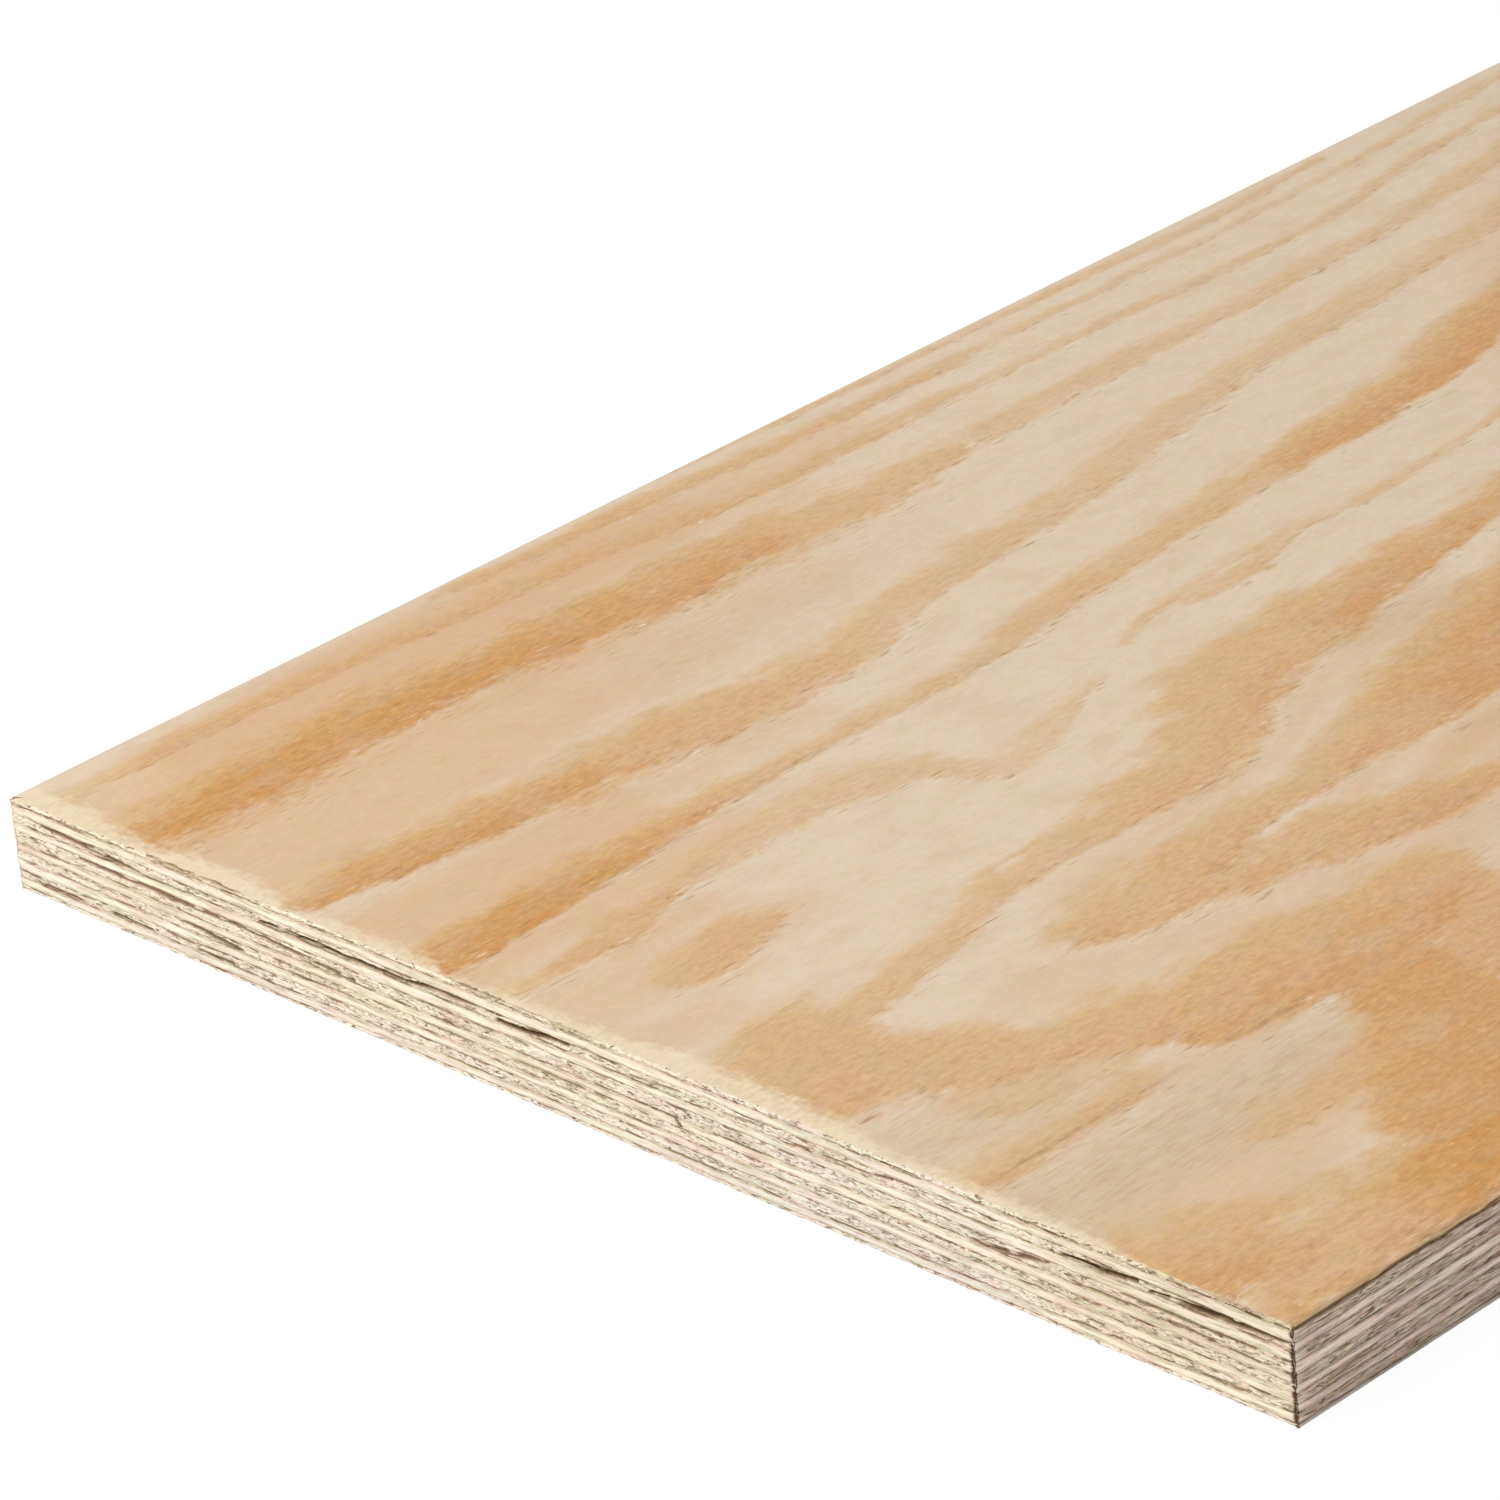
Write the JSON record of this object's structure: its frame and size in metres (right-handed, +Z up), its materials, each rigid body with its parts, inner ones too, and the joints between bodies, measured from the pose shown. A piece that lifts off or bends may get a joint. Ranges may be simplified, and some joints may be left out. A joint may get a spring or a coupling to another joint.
{
  "type": "plywood sheet",
  "caption": "Flat rectangular softwood plywood panel with a sanded face, square sawn edges that show the cross-laminated veneers, and lightly eased arrises.",
  "frame": {"origin": "centre of the panel's underside, on the surface that it lies on", "axes": "+X across the panel, +Y along the panel and its face grain, +Z up through the thickness to the better face"},
  "size_m": [0.3, 0.6, 0.018],
  "materials": {
    "face_veneer": "sanded, unfinished pine, flat-sawn figure",
    "cross_band": "sawn edge of softwood veneer with its grain along X",
    "long_band": "sawn edge of softwood veneer with its grain along Y"
  },
  "bodies": {
    "root": {"face_veneer": "face_veneer", "cross_band_1": "cross_band", "long_band_1": "long_band", "cross_band_2": "cross_band", "long_band_2": "long_band", "cross_band_3": "cross_band", "long_band_3": "long_band", "cross_band_4": "cross_band", "long_band_4": "long_band", "cross_band_5": "cross_band", "back_veneer": "face_veneer"}
  },
  "joints": []
}
